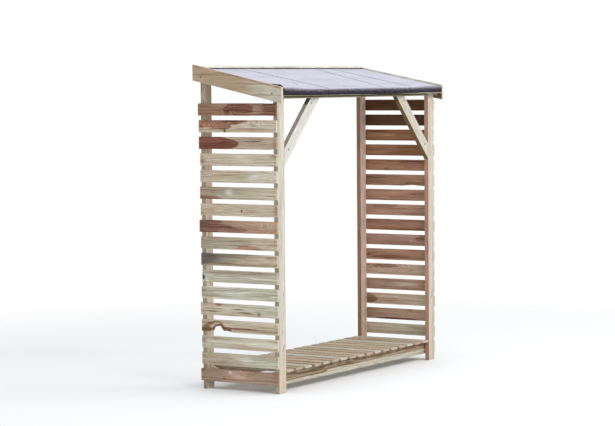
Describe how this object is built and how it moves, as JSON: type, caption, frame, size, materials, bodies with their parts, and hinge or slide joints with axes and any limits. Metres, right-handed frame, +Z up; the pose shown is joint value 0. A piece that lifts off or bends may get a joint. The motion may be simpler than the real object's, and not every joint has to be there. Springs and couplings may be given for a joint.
{
  "type": "open-fronted log store",
  "caption": "Free-standing timber log store, open front and back, with slatted ends, a raised slatted floor and a felted pent roof.",
  "frame": {"origin": "on the ground, under the middle of the roof's outline", "axes": "+X to the right along the front, +Y from the open front to the back, +Z up"},
  "size_m": [1.884, 0.6, 1.8583],
  "materials": {
    "frame_timber": "sawn softwood, pressure treated, weathered",
    "end_slat_timber": "sawn softwood, pressure treated, weathered unevenly",
    "floor_slat_timber": "sawn softwood, pressure treated, worn",
    "roof_board_timber": "planed softwood boards, pressure treated",
    "roof_trim_timber": "sawn softwood, pressure treated, weathered",
    "roofing_felt": "fine mineral-surfaced bitumen felt, matt"
  },
  "bodies": {
    "root": {"left_front_post": "frame_timber", "left_back_post": "frame_timber", "right_front_post": "frame_timber", "right_back_post": "frame_timber", "left_end_slats": "end_slat_timber", "right_end_slats": "end_slat_timber", "front_floor_beam": "frame_timber", "back_floor_beam": "frame_timber", "floor_slat_01": "floor_slat_timber", "floor_slat_02": "floor_slat_timber", "floor_slat_03": "floor_slat_timber", "floor_slat_04": "floor_slat_timber", "floor_slat_05": "floor_slat_timber", "floor_slat_06": "floor_slat_timber", "floor_slat_07": "floor_slat_timber", "floor_slat_08": "floor_slat_timber", "floor_slat_09": "floor_slat_timber", "floor_slat_10": "floor_slat_timber", "floor_slat_11": "floor_slat_timber", "floor_slat_12": "floor_slat_timber", "floor_slat_13": "floor_slat_timber", "floor_slat_14": "floor_slat_timber", "floor_slat_15": "floor_slat_timber", "floor_slat_16": "floor_slat_timber", "floor_slat_17": "floor_slat_timber", "front_rail": "frame_timber", "back_rail": "frame_timber", "middle_rafter": "frame_timber", "left_front_brace": "frame_timber", "right_front_brace": "frame_timber", "left_roof_bearer": "frame_timber", "right_roof_bearer": "frame_timber", "front_edge_batten": "frame_timber", "back_edge_batten": "frame_timber", "roof_board_1": "roof_board_timber", "roof_board_2": "roof_board_timber", "roof_board_3": "roof_board_timber", "roof_board_4": "roof_board_timber", "roof_board_5": "roof_board_timber", "roof_board_6": "roof_board_timber", "back_cover_lath": "roof_trim_timber", "left_barge_board": "roof_trim_timber", "right_barge_board": "roof_trim_timber", "roof_felt": "roofing_felt"}
  },
  "joints": []
}
